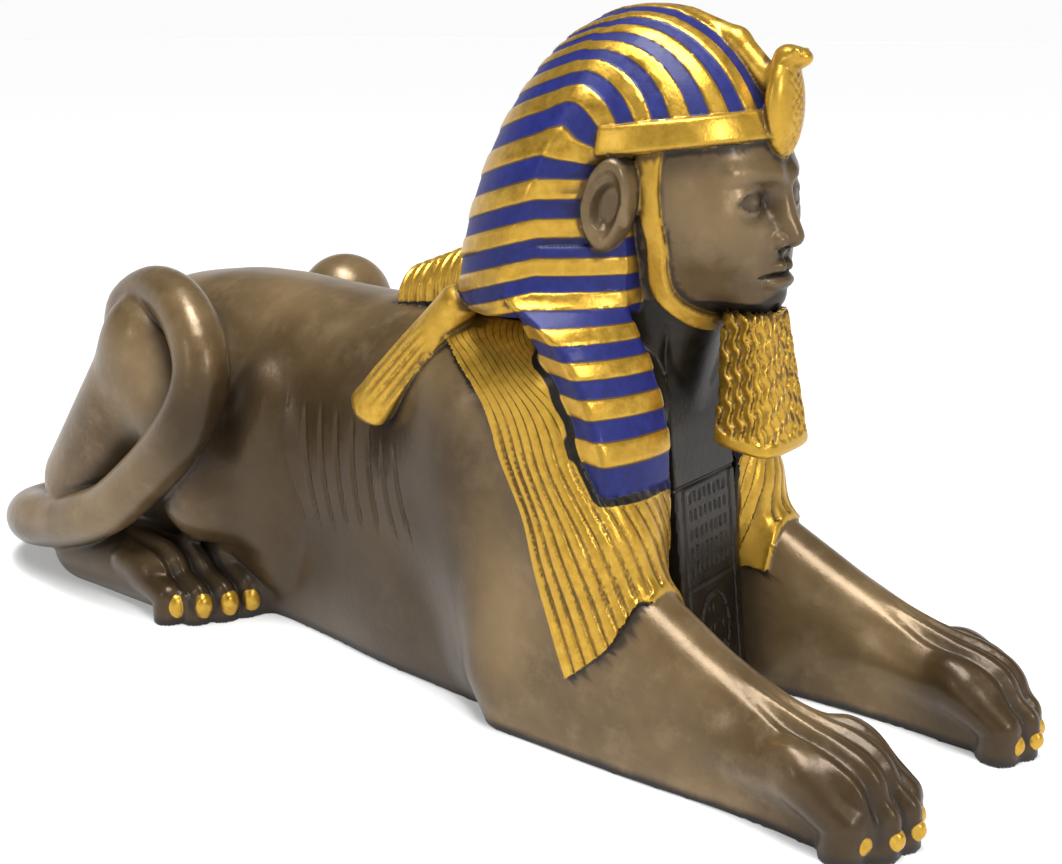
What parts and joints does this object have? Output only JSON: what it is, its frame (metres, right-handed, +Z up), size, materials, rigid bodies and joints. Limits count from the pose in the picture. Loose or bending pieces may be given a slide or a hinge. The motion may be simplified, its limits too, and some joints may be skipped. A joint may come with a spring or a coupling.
{
  "type": "sphinx statue",
  "caption": "Recumbent sphinx statuette with a striped head cloth, false beard and gilt pleated bib, standing on its flat underside.",
  "frame": {"origin": "on the standing surface, under the middle of the figure's box", "axes": "the figure faces -Y, +Z is up, its right side is -X"},
  "size_m": [0.0924, 0.26, 0.1397],
  "materials": {
    "bronze": "cold-cast bronze resin, brown patina rubbed bright on the high places, with gilt and ultramarine paint on the head cloth, band, beard, bib and claws"
  },
  "bodies": {
    "root": {"sphinx_figure": "bronze"}
  },
  "joints": []
}
